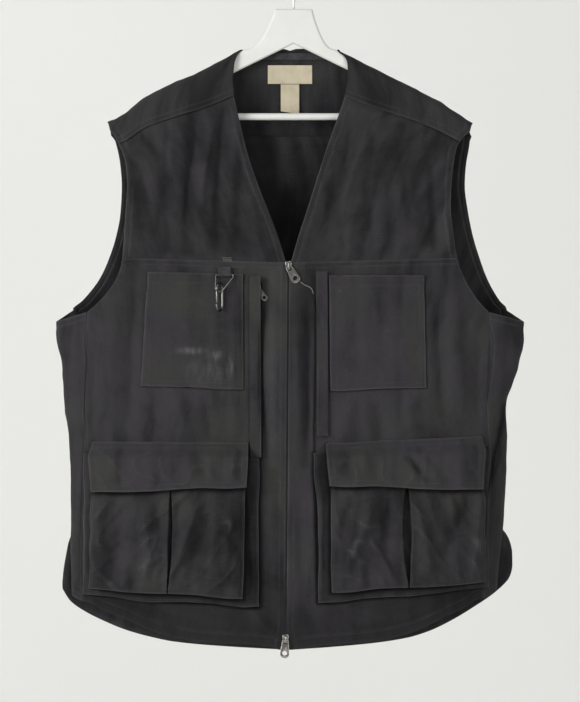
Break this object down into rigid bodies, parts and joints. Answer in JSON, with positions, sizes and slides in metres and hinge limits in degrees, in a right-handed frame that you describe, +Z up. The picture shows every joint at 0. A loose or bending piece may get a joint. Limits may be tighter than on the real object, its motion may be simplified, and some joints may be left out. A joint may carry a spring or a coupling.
{
  "type": "utility work vest on a clothes hanger",
  "caption": "Black canvas zip-front utility work vest with chest pockets, layered cargo pockets, a ring tab with a snap clip, on a white wooden hanger.",
  "frame": {"origin": "inner top of the hanger's hook, where a rail carries it", "axes": "+X to the wearer's left, +Y to the wearer's back, +Z up; the front faces -Y"},
  "size_m": [0.6289, 0.112, 0.9361],
  "materials": {
    "canvas": "washed black cotton canvas, worn pale along the seams",
    "tape": "black woven tape",
    "webbing": "black webbing",
    "nickel": "polished nickel, a little worn",
    "dark_metal": "dark plated metal",
    "label": "woven tan label, bare",
    "white_paint": "white painted wood, satin",
    "hook_metal": "bright steel wire"
  },
  "bodies": {
    "vest": {"front_yoke_right": "canvas", "front_body_right": "canvas", "side_panel_right": "canvas", "chest_pocket_right": "canvas", "zip_strip_right": "canvas", "base_pocket_right": "canvas", "cargo_pocket_right": "canvas", "pocket_flap_right": "canvas", "front_yoke_left": "canvas", "front_body_left": "canvas", "side_panel_left": "canvas", "chest_pocket_left": "canvas", "zip_strip_left": "canvas", "base_pocket_left": "canvas", "cargo_pocket_left": "canvas", "pocket_flap_left": "canvas", "back_body": "canvas", "shoulder_yoke": "canvas", "zip_tape_right": "tape", "zip_tape_left": "tape", "neck_tape": "tape", "ring_tab": "webbing", "zip_chain": "dark_metal", "pocket_zip": "dark_metal", "pocket_slider": "dark_metal", "top_slider": "nickel", "bottom_slider": "nickel", "tab_ring": "nickel", "clip_body": "nickel", "neck_label": "label", "care_label": "label", "hanger_wood": "white_paint", "hanger_bar": "white_paint", "hanger_hook": "hook_metal"},
    "top_pull": {"top_pull": "nickel"},
    "bottom_pull": {"bottom_pull": "nickel"},
    "pocket_pull": {"pocket_pull": "dark_metal"},
    "clip_gate": {"clip_gate": "nickel"}
  },
  "joints": [
    {"name": "top_pull_swing", "type": "hinge", "parent": "vest", "child": "top_pull", "pos_m": [-0.0072, -0.0352, -0.4074], "axis": [-0.866, 0, -0.5], "range_deg": [0, 120]},
    {"name": "bottom_pull_swing", "type": "hinge", "parent": "vest", "child": "bottom_pull", "pos_m": [-0.0109, -0.0489, -0.9075], "axis": [-0.9976, 0, 0.0698], "range_deg": [0, 120]},
    {"name": "pocket_pull_swing", "type": "hinge", "parent": "vest", "child": "pocket_pull", "pos_m": [-0.0472, -0.036, -0.4382], "axis": [-0.829, 0, -0.5592], "range_deg": [0, 20]},
    {"name": "clip_gate_swing", "type": "hinge", "parent": "vest", "child": "clip_gate", "pos_m": [-0.1032, -0.0504, -0.457], "axis": [-0.848, 0.5299, 0], "range_deg": [0, 30], "stiffness_Nm_per_rad": 0.004, "springref_deg": -11.46}
  ]
}
